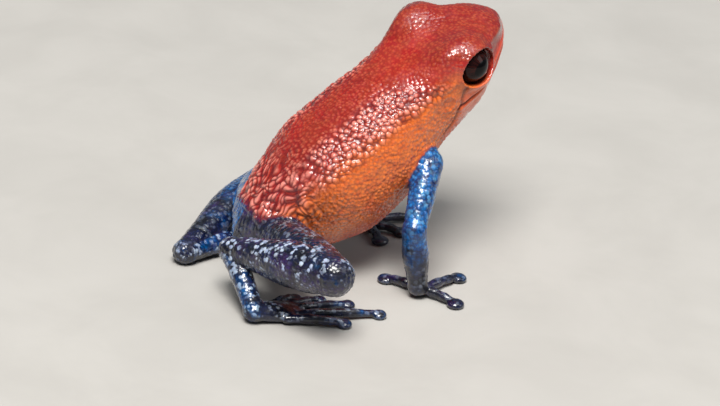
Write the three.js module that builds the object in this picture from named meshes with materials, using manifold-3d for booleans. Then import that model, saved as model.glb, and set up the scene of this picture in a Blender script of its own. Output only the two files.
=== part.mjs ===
// A life-size strawberry poison dart frog, sitting up steeply on its fore legs, as a group of named meshes.
// Millimetres, +Z up, +X the way the trunk heads, +Y the frog's left. The floor is Z = 0, and the origin is
// on the floor under the middle of the whole frog. The frog is 21 mm from snout to vent.
import * as THREE from "three";
import { mergeVertices } from "three/addons/utils/BufferGeometryUtils.js";
import Module from "manifold-3d";

const wasm = await Module();
wasm.setup();

// Driving sizes
const GAP = 0.28; // between pieces that meet
const SMALL_GAP = 0.22; // round the eyes and at the roots of the digits

const BODY_SIDES = 28;
const TORSO_RINGS = 15;
const HEAD_RINGS = 18;
const LIMB_SIDES = 12;
const DIGIT_SIDES = 7;
const EYE_SIDES = 16;
const EYE_RINGS = 10;
const EARDRUM_SIDES = 14;
const NOSTRIL_SIDES = 6;
const DISC_SIDES = 9;
const DISC_RINGS = 5;

// The spine, from vent to snout tip, and the section of the body along it. Each row of BODY is a distance
// from the vent, then the half width, the height over the spine and the depth under it.
const SPINE = {
  vent: [-1.5, 0, 2.5],
  loin: [3.9, 0, 7.0],
  nape: [10.6, -0.1, 12.8],
  snout: [15.7, 1.85, 15.5],
};
const BODY = [
  [0, 1.3, 0.7, 1.3],
  [2, 2.3, 1.2, 2.8],
  [4.5, 3.45, 2.0, 4.35],
  [7.5, 4.15, 2.6, 5.25],
  [10.5, 4.0, 2.6, 5.1],
  [12.7, 3.6, 2.5, 4.3],
  [14.5, 3.4, 2.45, 3.8],
  [16.8, 3.4, 2.3, 3.2],
  [18.6, 2.9, 2.0, 2.4],
  [20.2, 2.05, 1.55, 1.6],
  [21.4, 1.45, 1.1, 1.2],
];
const VENT_ROUND = 2.2; // length over which the rump rounds off
const SNOUT_ROUND = 1.7; // length over which the snout rounds off
const SQUARENESS = { torso: 2.25, head: 2.6, from: 13, to: 18 }; // 2 is an ellipse, more is squarer
const HEAD_ROLL = THREE.MathUtils.degToRad(7); // the head leans, left side up
const ROLL_FROM = 11; // distance from the vent where the lean starts and where it is whole
const ROLL_TO = 15;
const NECK = 14.0; // distance from the vent of the cut between torso and head

// Places on the head: along the spine, out to the side and up from it; forward and upward turn the look
const EYE = { along: 17.6, out: 2.45, up: 0.75, radius: 1.27, forward: 0.2, upward: 0.1 };
// The bulge over the eye; of its height, spread goes outward and rise goes up
const BROW = { along: 17.3, out: 2.35, up: 2, height: 0.95, long: 1.9, wide: 1.3, spread: 0.45, rise: 0.9 };
// The lids wrap the eye, cover over its radius and a little higher than it. wide and tall are half the
// opening, which flares outward, is tilted with its front end down, and starts from near the eye's middle
const LIDS = { cover: 0.44, higher: 0.05, wide: 1.38, tall: 1.12, flare: 0.1, tilt: 0.2, from: 0.5 };
// The lips meet this far under the spine; the line is cut by a sheet of slabs that reaches past the head
const MOUTH = { corner: 15.3, cornerDrop: 0.9, eyeDrop: 0.78, tipDrop: 0.45, line: 0.14, depth: 0.3 };
const SHEET = { half: 6, past: 2, slabs: 10, search: 0.005 };
const LIPS = { radius: 0.26, sunk: 0.13, start: 0.2, sides: 6, steps: 8, taper: 4 };
const NOSTRIL = { along: 20.75, up: 0.35, radius: 0.15, depth: 0.4 };
const EARDRUM = { along: 15.0, up: 0.1, radius: 0.6, ring: 0.14, depth: 0.2 };

// Where the joints are, from under the hips
const at = (x, y, z) => new THREE.Vector3(x, y, z);
const POSE = {
  right: {
    hip: at(0.4, -1.6, 3.2),
    knee: at(1.0, -10.2, 4.55),
    heel: at(-2.6, -2.5, 3.0),
    instep: at(-2.4, -6.4, 0.7),
    shoulder: at(9.9, -2.9, 7.8),
    elbow: at(8.2, -5.4, 4.5),
    wrist: at(8.7, -5.6, 0.75),
  },
  left: {
    hip: at(0.4, 1.6, 3.2),
    knee: at(3.4, 8.1, 1.9),
    heel: at(-3.8, 2.2, 0.75),
    instep: at(0.5, 3.4, 0.62),
    shoulder: at(9.8, 3.0, 7.9),
    elbow: at(7.4, 5.6, 4.4),
    wrist: at(8.8, 4.5, 0.75),
  },
};

// Radii of each length of limb at its two ends and at a place between them, where that is as a share of the
// length, and how far the middle of the limb is bowed upward
const LIMBS = {
  thigh: { from: "hip", to: "knee", start: 1.3, thick: 1.4, end: 1.2, where: 0.5, bow: 0.25 },
  shank: { from: "knee", to: "heel", start: 1.2, thick: 1.42, end: 0.75, where: 0.35, bow: 0.1 },
  tarsus: { from: "heel", to: "instep", start: 0.75, thick: 0.68, end: 0.6, where: 0.5, bow: 0.1 },
  upper_arm: { from: "shoulder", to: "elbow", start: 0.92, thick: 0.85, end: 0.72, where: 0.45, bow: 0.1 },
  forearm: { from: "elbow", to: "wrist", start: 0.74, thick: 0.84, end: 0.58, where: 0.4, bow: 0 },
};
const LIMB_RINGS = 7;

// Digits: heading in degrees to the left of +X, and length from the instep or the wrist to the tip
const TOES = {
  right: [
    { heading: 29, length: 4.4 },
    { heading: 16, length: 5.5 },
    { heading: 4, length: 6.8 },
    { heading: -9, length: 8.3 },
    { heading: -20, length: 6.0 },
  ],
  left: [
    { heading: -9, length: 4.4 },
    { heading: 4, length: 5.6 },
    { heading: 16, length: 6.9 },
    { heading: 28, length: 8.4 },
    { heading: 40, length: 6.0 },
  ],
};
const FINGERS = {
  right: [
    { heading: 116, length: 3.2 },
    { heading: 68, length: 3.3 },
    { heading: 24, length: 4.3 },
    { heading: -46, length: 3.1 },
  ],
  left: [
    { heading: -80, length: 3.1 },
    { heading: -36, length: 3.4 },
    { heading: 4, length: 4.4 },
    { heading: 44, length: 3.5 },
  ],
};
// Pads: length, radius at the two ends, how flat each end is, and half the spread of the knuckles
const SOLE = { length: 2.3, radius: 0.6, tipRadius: 1.2, flat: [0.9, 0.36], knuckles: 1.1 };
const PALM = { length: 0.7, radius: 0.55, tipRadius: 0.8, flat: [0.8, 0.5], knuckles: 0.25 };
const PAD_RINGS = 3;
const KNUCKLES_ALONG = 0.75; // share of the pad's length at which the digits are rooted
const LEAN_LIMIT = 0.5; // sideways slope at which a digit is rooted at the pad's very edge
const DIGIT = { root: 0.28, middle: 0.29, tip: 0.26, arch: 0.125, rise: 0.4, tipRise: 0.28, rings: 3 };
const TOE_DISC = { radius: 0.48, thick: 0.27 };
const FINGER_DISC = { radius: 0.55, thick: 0.28 };
const SETTLE = { pad: 0.85, disc: 0.75 }; // height of the middle over half the thickness, for a flat foot

const COLOUR = {
  red: 0xb8281c,
  orange: 0xd9662a,
  blue: 0x2c4a86,
  purple: 0x3a3f78,
  dark: 0x1e2740,
  eye: 0x080606,
};

// A smooth curve through a few values that never overshoots them
function smooth(places, values, s) {
  const x = THREE.MathUtils.clamp(s, places[0], places.at(-1));
  const slope = places.slice(1).map((p, i) => (values[i + 1] - values[i]) / (p - places[i]));
  const lean = values.map((_, i) => {
    if (i === 0) return slope[0];
    if (i === slope.length) return slope[i - 1];
    const product = slope[i - 1] * slope[i];
    return product <= 0 ? 0 : (2 * product) / (slope[i - 1] + slope[i]);
  });
  let i = 0;
  while (i < places.length - 2 && x > places[i + 1]) i++;
  const h = places[i + 1] - places[i];
  const t = (x - places[i]) / h;
  return (
    (2 * t ** 3 - 3 * t ** 2 + 1) * values[i] +
    (t ** 3 - 2 * t ** 2 + t) * h * lean[i] +
    (3 * t ** 2 - 2 * t ** 3) * values[i + 1] +
    (t ** 3 - t ** 2) * h * lean[i + 1]
  );
}

// A quarter-round from 0 to 1 over a length
function roundOff(s, length) {
  const t = THREE.MathUtils.clamp(s / length, 0, 1);
  return Math.sqrt(1 - (1 - t) ** 2);
}

// A closed skin over rings of points, with a pole at each end
function loft(rings, firstPole, lastPole) {
  const sides = rings[0].length;
  const points = [...rings.flat(), firstPole, lastPole];
  const first = rings.length * sides;
  const index = [];
  rings.slice(1).forEach((_, i) => {
    for (let j = 0; j < sides; j++) {
      const k = (j + 1) % sides;
      const [a, b, c, d] = [i * sides + j, i * sides + k, (i + 1) * sides + k, (i + 1) * sides + j];
      index.push(a, b, c, a, c, d);
    }
  });
  for (let j = 0; j < sides; j++) {
    const k = (j + 1) % sides;
    index.push(first, k, j, first + 1, first - sides + j, first - sides + k);
  }
  return new THREE.BufferGeometry().setFromPoints(points).setIndex(index);
}

// Points of an ellipse in the plane of two axes
function ringAround(centre, left, up, wide, high, sides) {
  return Array.from({ length: sides }, (_, j) => {
    const a = (j / sides) * 2 * Math.PI;
    const p = centre.clone().addScaledVector(left, wide * Math.cos(a));
    return p.addScaledVector(up, high * Math.sin(a));
  });
}

// A closed three.js geometry as a solid that can be joined and cut
function solid(geometry) {
  const bare = geometry.clone();
  bare.deleteAttribute("normal");
  bare.deleteAttribute("uv");
  const merged = mergeVertices(bare, 1e-4);
  return new wasm.Manifold(
    new wasm.Mesh({
      numProp: 3,
      vertProperties: merged.attributes.position.array,
      triVerts: new Uint32Array(merged.index.array),
    }),
  );
}

function keepLargest(made) {
  return made.decompose().reduce((a, b) => (b.volume() > a.volume() ? b : a));
}

// What lies on the side of a plane that its normal points to, clear of the plane by a margin
function beyond(made, point, normal, margin) {
  return made.trimByPlane(normal.toArray(), point.dot(normal) + margin);
}

const overFloor = (made) => beyond(made, at(0, 0, 0), at(0, 0, 1), 0);

// The body
const spine = new THREE.CubicBezierCurve3(...Object.values(SPINE).map((p) => at(...p)));
const SPINE_LENGTH = spine.getLength();

// Place and axes on the spine at a distance from the vent; past the snout it goes straight on
function spineAt(s) {
  const u = THREE.MathUtils.clamp(s / SPINE_LENGTH, 0, 1);
  const ahead = spine.getTangentAt(u);
  const place = spine.getPointAt(u).addScaledVector(ahead, s - u * SPINE_LENGTH);
  const roll = HEAD_ROLL * THREE.MathUtils.smoothstep(s, ROLL_FROM, ROLL_TO);
  const left = at(0, 0, 1).cross(ahead).normalize().applyAxisAngle(ahead, roll);
  return { place, ahead, left, up: ahead.clone().cross(left) };
}

function onSpine(along, out, up) {
  const f = spineAt(along);
  return f.place.addScaledVector(f.left, out).addScaledVector(f.up, up);
}

// The section of the body at a distance from the vent
function sectionAt(s) {
  const places = BODY.map((row) => row[0]);
  const shrink = roundOff(s, VENT_ROUND) * roundOff(SPINE_LENGTH - s, SNOUT_ROUND);
  const sizeOf = (k) => smooth(places, BODY.map((row) => row[k]), s) * shrink;
  const [wide, over, under] = [sizeOf(1), sizeOf(2), sizeOf(3)];
  const toHead = THREE.MathUtils.smoothstep(s, SQUARENESS.from, SQUARENESS.to);
  const power = THREE.MathUtils.lerp(SQUARENESS.torso, SQUARENESS.head, toHead);
  return { wide, over, under, power };
}

// How far the brow lifts the skin at a place
function browLift(s, out, up) {
  const along = (s - BROW.along) / BROW.long;
  const across = Math.hypot(Math.abs(out) - BROW.out, up - BROW.up) / BROW.wide;
  return BROW.height * Math.exp(-(along ** 2 + across ** 2));
}

// One section, all round
function bodyRing(s, grow) {
  const { wide, over, under, power } = sectionAt(s);
  const bend = (v) => Math.sign(v) * Math.abs(v) ** (2 / power);
  return Array.from({ length: BODY_SIDES }, (_, j) => {
    const a = (j / BODY_SIDES) * 2 * Math.PI;
    const out = (wide + grow) * bend(Math.cos(a));
    const up = ((Math.sin(a) > 0 ? over : under) + grow) * bend(Math.sin(a));
    const lift = browLift(s, out, up);
    return onSpine(s, out + Math.sign(out) * lift * BROW.spread, up + lift * BROW.rise);
  });
}

// The whole body; its rings are closer together on the head
function bodySkin(grow = 0) {
  const ends = { torso: BROW.along - 2 * BROW.long, head: SPINE_LENGTH };
  const rings = [];
  for (let i = 1; i <= TORSO_RINGS; i++) {
    const u = 1 - Math.cos((Math.PI / 2) * (i / TORSO_RINGS));
    rings.push(bodyRing(u * ends.torso, grow));
  }
  for (let i = 1; i < HEAD_RINGS; i++) {
    const u = Math.sin((Math.PI / 2) * (i / HEAD_RINGS));
    rings.push(bodyRing(ends.torso + u * (ends.head - ends.torso), grow));
  }
  return solid(loft(rings, onSpine(-grow, 0, 0), onSpine(SPINE_LENGTH + grow, 0, 0)));
}

const sideOf = (name) => (name === "left" ? 1 : -1);

// The eye's middle and the way it looks
function eyeFrame(name) {
  const f = spineAt(EYE.along);
  const look = f.left.clone().multiplyScalar(sideOf(name));
  look.addScaledVector(f.ahead, EYE.forward).addScaledVector(f.up, EYE.upward).normalize();
  return { centre: onSpine(EYE.along, sideOf(name) * EYE.out, EYE.up), look, up: f.up };
}

// A ball round the eye's middle, or a little higher
function eyeBall(name, radius, higher = 0) {
  const { centre, look, up } = eyeFrame(name);
  const turn = new THREE.Quaternion().setFromUnitVectors(at(0, 1, 0), look);
  const ball = new THREE.SphereGeometry(radius, EYE_SIDES, EYE_RINGS).applyQuaternion(turn);
  return solid(ball.translate(...centre.addScaledVector(up, higher).toArray()));
}

// The oval hole between the lids that shows the eye
function lidOpening(name) {
  const { centre, look, up } = eyeFrame(name);
  const across = up.clone().cross(look).normalize();
  const axes = new THREE.Matrix4().makeBasis(across, look.clone().cross(across), look);
  const reach = EYE.radius;
  const hole = new THREE.CylinderGeometry(1 + LIDS.flare, 1, reach, EYE_SIDES).rotateX(Math.PI / 2);
  hole.scale(LIDS.wide, LIDS.tall, 1).rotateZ(sideOf(name) * LIDS.tilt);
  hole.translate(0, 0, LIDS.from + reach / 2);
  return solid(hole.applyMatrix4(axes).translate(...centre.toArray()));
}

// A cylinder from inside the head straight out to one side
function sidePlug(along, up, radius, from, to, name, sides) {
  const length = to - from;
  const out = sideOf(name) * (from + length / 2);
  const plug = new THREE.CylinderGeometry(radius, radius, length, sides);
  const turn = new THREE.Quaternion().setFromUnitVectors(at(0, 1, 0), spineAt(along).left);
  return solid(plug.applyQuaternion(turn).translate(...onSpine(along, out, up).toArray()));
}

// The half width of the body at a height over the spine
function halfWidthAt(s, up) {
  const { wide, over, under, power } = sectionAt(s);
  const t = Math.min(Math.abs(up) / (up > 0 ? over : under), 1);
  return wide * (1 - t ** power) ** (1 / power);
}

// How far under the spine the lips meet
function mouthDrop(s) {
  return smooth([MOUTH.corner, EYE.along, SPINE_LENGTH], [MOUTH.cornerDrop, MOUTH.eyeDrop, MOUTH.tipDrop], s);
}

// Where the line of the mouth reaches the front of the snout
function mouthFront() {
  let s = SPINE_LENGTH;
  while (sectionAt(s).under < mouthDrop(s)) s -= SHEET.search;
  return s;
}

// A thin sheet where the lips meet, less the inside of the head, so that it cuts only a groove
function mouthGroove() {
  const rings = [];
  const thin = MOUTH.line / 2;
  for (let i = 0; i <= SHEET.slabs; i++) {
    const s = THREE.MathUtils.lerp(MOUTH.corner, SPINE_LENGTH + SHEET.past, i / SHEET.slabs);
    const corner = (side, up) => onSpine(s, side * SHEET.half, up - mouthDrop(s));
    rings.push([corner(1, -thin), corner(1, thin), corner(-1, thin), corner(-1, -thin)]);
  }
  const pole = (ring) => ring.reduce((a, b) => a.clone().add(b)).multiplyScalar(1 / ring.length);
  return solid(loft(rings, pole(rings[0]), pole(rings.at(-1)))).subtract(bodySkin(-MOUTH.depth));
}

// Both lips as one half-sunk cord from corner to corner; the groove parts them
function lips() {
  const front = mouthFront();
  const places = [];
  for (let i = -LIPS.steps; i <= LIPS.steps; i++) {
    const t = Math.cos((Math.PI / 2) * (i / LIPS.steps));
    const s = THREE.MathUtils.lerp(MOUTH.corner - LIPS.start, front - LIPS.sunk, t);
    const out = Math.max(halfWidthAt(s, -mouthDrop(s)) - LIPS.sunk, 0);
    places.push(onSpine(s, Math.sign(i) * out, -mouthDrop(s)));
  }
  const curve = new THREE.CatmullRomCurve3(places);
  const rings = [];
  const count = 3 * LIPS.steps;
  for (let i = 1; i < count; i++) {
    const ahead = curve.getTangentAt(i / count);
    const up = spineAt(MOUTH.corner).up;
    const out = up.clone().cross(ahead).normalize();
    const radius = LIPS.radius * roundOff(i, LIPS.taper) * roundOff(count - i, LIPS.taper);
    const place = curve.getPointAt(i / count);
    rings.push(ringAround(place, out, ahead.clone().cross(out), radius, radius, LIPS.sides));
  }
  return solid(loft(rings, places[0], places.at(-1)));
}

function eardrumRing(name) {
  const { along, up, radius, ring, depth } = EARDRUM;
  const surface = halfWidthAt(along, up);
  const outer = sidePlug(along, up, radius, surface - depth, surface + 1, name, EARDRUM_SIDES);
  return outer.subtract(sidePlug(along, up, radius - ring, surface - 1, surface + 2, name, EARDRUM_SIDES));
}

function wholeBody() {
  let made = bodySkin().add(lips());
  for (const name of ["right", "left"]) {
    made = made.add(eyeBall(name, EYE.radius + LIDS.cover, LIDS.higher)).subtract(lidOpening(name));
    made = made.subtract(eyeBall(name, EYE.radius + SMALL_GAP));
    const { along, up, radius, depth } = NOSTRIL;
    const surface = halfWidthAt(along, up);
    made = made.subtract(sidePlug(along, up, radius, surface - depth, surface + 1, name, NOSTRIL_SIDES));
    made = made.subtract(eardrumRing(name));
  }
  return made.subtract(mouthGroove());
}

// A length of limb: a tube bowed upward, with round ends, flattened as it goes where flat says so
function limb(start, end, radii, where, bow, sides, rings, flat = [1, 1]) {
  const middle = start.clone().lerp(end, 0.5).add(at(0, 0, 2 * bow));
  const curve = new THREE.QuadraticBezierCurve3(start, middle, end);
  const made = [];
  const ring = (centre, ahead, radius, height) => {
    const left = at(0, 0, 1).cross(ahead).normalize();
    made.push(ringAround(centre, left, ahead.clone().cross(left), radius, radius * height, sides));
  };
  const [firstAhead, lastAhead] = [curve.getTangent(0), curve.getTangent(1)];
  const [first, last] = [radii[0] * Math.SQRT1_2, radii[2] * Math.SQRT1_2];
  ring(start.clone().addScaledVector(firstAhead, -first), firstAhead, first, flat[0]);
  for (let i = 0; i <= rings; i++) {
    const t = i / rings;
    const height = THREE.MathUtils.lerp(flat[0], flat[1], t);
    ring(curve.getPoint(t), curve.getTangent(t), smooth([0, where, 1], radii, t), height);
  }
  ring(end.clone().addScaledVector(lastAhead, last), lastAhead, last, flat[1]);
  const firstPole = start.clone().addScaledVector(firstAhead, -radii[0]);
  return solid(loft(made, firstPole, end.clone().addScaledVector(lastAhead, radii[2])));
}

function limbSolid(kind, joints) {
  const { from, to, start, thick, end, where, bow } = LIMBS[kind];
  return limb(joints[from], joints[to], [start, thick, end], where, bow, LIMB_SIDES, LIMB_RINGS);
}

// Two lengths of limb that meet at a joint are parted by the plane that lies midway between them
function partAt(joint, farA, farB, a, b) {
  const toA = farA.clone().sub(joint).normalize();
  const normal = farB.clone().sub(joint).normalize().sub(toA).normalize();
  return [beyond(a, joint, normal.clone().negate(), GAP / 2), beyond(b, joint, normal, GAP / 2)];
}

// The flat pad that the digits grow from
function pad(root, heading, size, grow = 0) {
  const tipHeight = size.tipRadius * size.flat[1] * SETTLE.pad;
  const tip = root.clone().addScaledVector(heading, size.length).setZ(tipHeight);
  const radii = [size.radius, (size.radius + size.tipRadius) / 2, size.tipRadius].map((r) => r + grow);
  return limb(root, tip, radii, 0.5, 0, LIMB_SIDES, PAD_RINGS, size.flat);
}

function headingOf(degrees) {
  const a = THREE.MathUtils.degToRad(degrees);
  return at(Math.cos(a), Math.sin(a), 0);
}

// A toe or finger, arched off the floor, with its round disc at the tip
function digit(start, tip, disc) {
  const end = tip.clone().addScaledVector(tip.clone().sub(start).setZ(0).normalize(), -disc.radius);
  end.setZ(DIGIT.tipRise);
  const radii = [DIGIT.root, DIGIT.middle, DIGIT.tip];
  const tube = limb(start, end, radii, 0.5, DIGIT.arch, DIGIT_SIDES, DIGIT.rings);
  const ball = new THREE.SphereGeometry(1, DISC_SIDES, DISC_RINGS).rotateX(Math.PI / 2);
  ball.scale(disc.radius, disc.radius, disc.thick).translate(end.x, end.y, disc.thick * SETTLE.disc);
  return tube.add(solid(ball));
}

// The middle heading of a hand or foot, which its pad points along
function middleHeading(digits) {
  const sum = digits.map((d) => headingOf(d.heading)).reduce((a, b) => a.add(b));
  return sum.normalize();
}

// A hand or foot: its pad, and its digits, which spread from the knuckles and are cut back from the pad
function extremity(root, digits, size, disc) {
  const heading = middleHeading(digits);
  const side = at(0, 0, 1).cross(heading);
  const padSolid = overFloor(pad(root, heading, size));
  const clearOf = pad(root, heading, size, SMALL_GAP);
  const made = digits.map((d) => {
    const ray = headingOf(d.heading);
    const lean = THREE.MathUtils.clamp(ray.dot(side) / ray.dot(heading) / LEAN_LIMIT, -1, 1);
    const knuckle = root.clone().addScaledVector(heading, size.length * KNUCKLES_ALONG).setZ(DIGIT.rise);
    knuckle.addScaledVector(side, lean * size.knuckles);
    return overFloor(digit(knuckle, root.clone().addScaledVector(ray, d.length), disc)).subtract(clearOf);
  });
  return { padSolid, made };
}

// The frog
const frog = new THREE.Group();

function addNode(name, made, colour, roughness = 0.35) {
  const mesh = keepLargest(made).getMesh();
  const geometry = new THREE.BufferGeometry()
    .setAttribute("position", new THREE.BufferAttribute(mesh.vertProperties, 3))
    .setIndex(new THREE.BufferAttribute(mesh.triVerts, 1));
  const material = new THREE.MeshStandardMaterial({ color: colour, roughness, metalness: 0 });
  const node = new THREE.Mesh(geometry, material);
  node.name = name;
  frog.add(node);
}

function addBody() {
  const whole = wholeBody();
  const neck = spineAt(NECK);
  addNode("head", beyond(whole, neck.place, neck.ahead, GAP / 2), COLOUR.red);
  addNode("torso", beyond(whole, neck.place, neck.ahead.clone().negate(), GAP / 2), COLOUR.orange);
  for (const name of ["right", "left"]) {
    addNode(`eye_${name}`, eyeBall(name, EYE.radius), COLOUR.eye, 0.05);
  }
}

function addHindLeg(name, clearOfBody) {
  const j = POSE[name];
  let [thigh, shank, tarsus] = ["thigh", "shank", "tarsus"].map((kind) => limbSolid(kind, j));
  const foot = extremity(j.instep, TOES[name], SOLE, TOE_DISC);
  [thigh, shank] = partAt(j.knee, j.hip, j.heel, thigh, shank);
  [shank, tarsus] = partAt(j.heel, j.knee, j.instep, shank, tarsus);
  const sole = j.instep.clone().add(middleHeading(TOES[name]));
  [tarsus, foot.padSolid] = partAt(j.instep, j.heel, sole, tarsus, foot.padSolid);
  addNode(`thigh_${name}`, overFloor(thigh).subtract(clearOfBody), COLOUR.purple);
  addNode(`shank_${name}`, overFloor(shank).subtract(clearOfBody), COLOUR.blue);
  addNode(`tarsus_${name}`, overFloor(tarsus).subtract(clearOfBody), COLOUR.blue);
  addNode(`sole_${name}`, foot.padSolid, COLOUR.dark);
  foot.made.forEach((toe, i) => addNode(`toe_${i + 1}_${name}`, toe, COLOUR.blue));
}

function addForeLeg(name, clearOfBody) {
  const j = POSE[name];
  let [upper, fore] = ["upper_arm", "forearm"].map((kind) => limbSolid(kind, j));
  const hand = extremity(j.wrist, FINGERS[name], PALM, FINGER_DISC);
  [upper, fore] = partAt(j.elbow, j.shoulder, j.wrist, upper, fore);
  const palm = j.wrist.clone().add(middleHeading(FINGERS[name]));
  [fore, hand.padSolid] = partAt(j.wrist, j.elbow, palm, fore, hand.padSolid);
  addNode(`upper_arm_${name}`, upper.subtract(clearOfBody), COLOUR.blue);
  addNode(`forearm_${name}`, overFloor(fore).subtract(clearOfBody), COLOUR.dark);
  addNode(`palm_${name}`, hand.padSolid, COLOUR.dark);
  hand.made.forEach((finger, i) => addNode(`finger_${i + 1}_${name}`, finger, COLOUR.blue));
}

const clearOfBody = bodySkin(GAP);
addBody();
for (const name of ["right", "left"]) {
  addHindLeg(name, clearOfBody);
  addForeLeg(name, clearOfBody);
}

// The joints are placed from under the hips; the origin moves from there to under the frog's middle
const middle = new THREE.Box3().setFromObject(frog).getCenter(new THREE.Vector3());
frog.position.set(-middle.x, -middle.y, 0);

export default frog;
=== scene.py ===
# %% [markdown]
# # A strawberry poison dart frog, life-size
#
# The frog sits up steeply on its fore legs, as a museum shows one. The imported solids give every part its
# place and size; this script grows one unbroken wet skin over them, sets the eyes, and lights the frog.
# Shapes are worked out in millimetres, because the frog is only 21 mm long, and turned to metres at the end.

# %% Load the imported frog
import math
import bpy
import numpy as np
import openvdb
from mathutils import Matrix, Vector


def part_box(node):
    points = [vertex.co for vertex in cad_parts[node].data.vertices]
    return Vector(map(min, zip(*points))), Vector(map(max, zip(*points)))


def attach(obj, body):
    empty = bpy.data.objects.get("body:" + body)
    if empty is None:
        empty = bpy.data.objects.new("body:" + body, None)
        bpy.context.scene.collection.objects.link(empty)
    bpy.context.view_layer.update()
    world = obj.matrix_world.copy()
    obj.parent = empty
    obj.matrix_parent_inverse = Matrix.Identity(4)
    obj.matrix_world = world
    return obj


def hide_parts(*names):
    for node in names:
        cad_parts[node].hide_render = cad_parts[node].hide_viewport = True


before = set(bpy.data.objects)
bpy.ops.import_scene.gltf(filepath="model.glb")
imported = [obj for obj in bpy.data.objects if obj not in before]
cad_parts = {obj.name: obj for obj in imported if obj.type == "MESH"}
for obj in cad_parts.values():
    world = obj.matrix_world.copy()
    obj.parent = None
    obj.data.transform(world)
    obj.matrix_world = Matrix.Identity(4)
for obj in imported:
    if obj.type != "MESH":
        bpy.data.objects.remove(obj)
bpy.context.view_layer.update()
MM = 0.001

# %% [markdown]
# ## The line of the back
#
# Everything on the trunk and head is placed by its distance from the vent along a spine, and by how far it
# lies out to the left of the spine and up from it. A spine could be drawn as a chain of bones, but one
# smooth Bezier curve with a measured length gives a place and three axes at any distance, which is all that
# a body of rings needs. The head leans a little, left side up, so the axes roll as they reach it.

# %% The spine and its axes
SPINE = np.array([[-1.5, 0, 2.5], [3.9, 0, 7.0], [10.6, -0.1, 12.8], [15.7, 1.85, 15.5]])  # vent to snout
HEAD_ROLL = math.radians(7)
ROLL_FROM, ROLL_TO = 11, 15


def unit(v):
    return v / np.linalg.norm(v, axis=-1, keepdims=True)


def smoothstep(low, high, x):
    t = np.clip((np.asarray(x, float) - low) / (high - low), 0, 1)
    return t * t * (3 - 2 * t)


def smooth(places, values, x):
    """A curve through a few values that never overshoots them."""
    places, values = np.asarray(places, float), np.asarray(values, float)
    x = np.clip(x, places[0], places[-1])
    width = np.diff(places)
    slope = np.diff(values) / width
    product = slope[:-1] * slope[1:]
    total = np.where(slope[:-1] + slope[1:] == 0, 1, slope[:-1] + slope[1:])
    lean = np.concatenate([slope[:1], np.where(product > 0, 2 * product / total, 0), slope[-1:]])
    i = np.clip(np.searchsorted(places, x, side="right") - 1, 0, len(width) - 1)
    t = (x - places[i]) / width[i]
    ends = (2 * t**3 - 3 * t**2 + 1) * values[i] + (3 * t**2 - 2 * t**3) * values[i + 1]
    return ends + width[i] * ((t**3 - 2 * t**2 + t) * lean[i] + (t**3 - t**2) * lean[i + 1])


def bezier(t):
    a, b, c, d = SPINE
    t = t[:, None]
    return (1 - t) ** 3 * a + 3 * (1 - t) ** 2 * t * b + 3 * (1 - t) * t * t * c + t**3 * d


SPINE_STEPS = 1200
steps = np.linspace(0, 1, SPINE_STEPS + 1)
spine_points = bezier(steps)
spine_lengths = np.concatenate([[0], np.cumsum(np.linalg.norm(np.diff(spine_points, axis=0), axis=1))])
spine_ahead = unit(np.gradient(spine_points, steps, axis=0))
SPINE_LENGTH = spine_lengths[-1]


def spine_at(s):
    """Place, ahead, left and up at distances s from the vent; past either end it goes straight on."""
    s = np.atleast_1d(np.asarray(s, float))
    inside = np.clip(s, 0, SPINE_LENGTH)
    place = np.stack([np.interp(inside, spine_lengths, spine_points[:, k]) for k in range(3)], -1)
    ahead = unit(np.stack([np.interp(inside, spine_lengths, spine_ahead[:, k]) for k in range(3)], -1))
    flat_left = unit(np.cross([0, 0, 1], ahead))
    flat_up = np.cross(ahead, flat_left)
    roll = (HEAD_ROLL * smoothstep(ROLL_FROM, ROLL_TO, s))[:, None]
    left = flat_left * np.cos(roll) + flat_up * np.sin(roll)
    return place + ahead * (s - inside)[:, None], ahead, left, np.cross(ahead, left)


def on_spine(s, out, up):
    place, _, left, above = spine_at(s)
    return place + left * np.reshape(out, (-1, 1)) + above * np.reshape(up, (-1, 1))


print("spine", round(SPINE_LENGTH, 2), "mm from vent to snout")

# %% [markdown]
# ## The trunk and head as one loft
#
# A frog has no neck, so trunk and head are one form: a row of sections along the spine, each a rounded
# box rather than an ellipse. Modelling it by hand from a subdivided cube would work too, but a table of a few
# widths and depths keeps the proportions in view and easy to correct. The brows are lifted out of the
# sections, which keeps the surface smooth where an added ball would leave a seam.

# %% Sections of the body
# Each row: distance from the vent, half width, height over the spine, depth under it
BODY = np.array([
    [0, 1.3, 0.7, 1.3],
    [2, 2.3, 1.2, 2.8],
    [4.5, 3.45, 2.0, 4.35],
    [7.5, 4.15, 2.6, 5.25],
    [10.5, 4.0, 2.6, 5.1],
    [12.7, 3.6, 2.5, 4.3],
    [14.5, 3.4, 2.45, 3.8],
    [16.8, 3.4, 2.3, 3.2],
    [18.6, 2.9, 2.0, 2.4],
    [20.2, 2.05, 1.55, 1.6],
    [21.4, 1.45, 1.1, 1.2],
])
VENT_ROUND, SNOUT_ROUND = 2.2, 1.7
SQUARE_TORSO, SQUARE_HEAD = 2.25, 2.6
SQUARE_FROM, SQUARE_TO = 13, 18
EYE = {"along": 17.6, "out": 2.45, "up": 0.75, "radius": 1.27, "forward": 0.2, "upward": 0.1}
BROW = {"along": 17.3, "out": 2.35, "up": 2.0, "height": 0.95, "long": 1.9, "wide": 1.3,
        "spread": 0.45, "rise": 0.9}


def round_off(s, length):
    return np.sqrt(1 - (1 - np.clip(np.asarray(s, float) / length, 0, 1)) ** 2)


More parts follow.
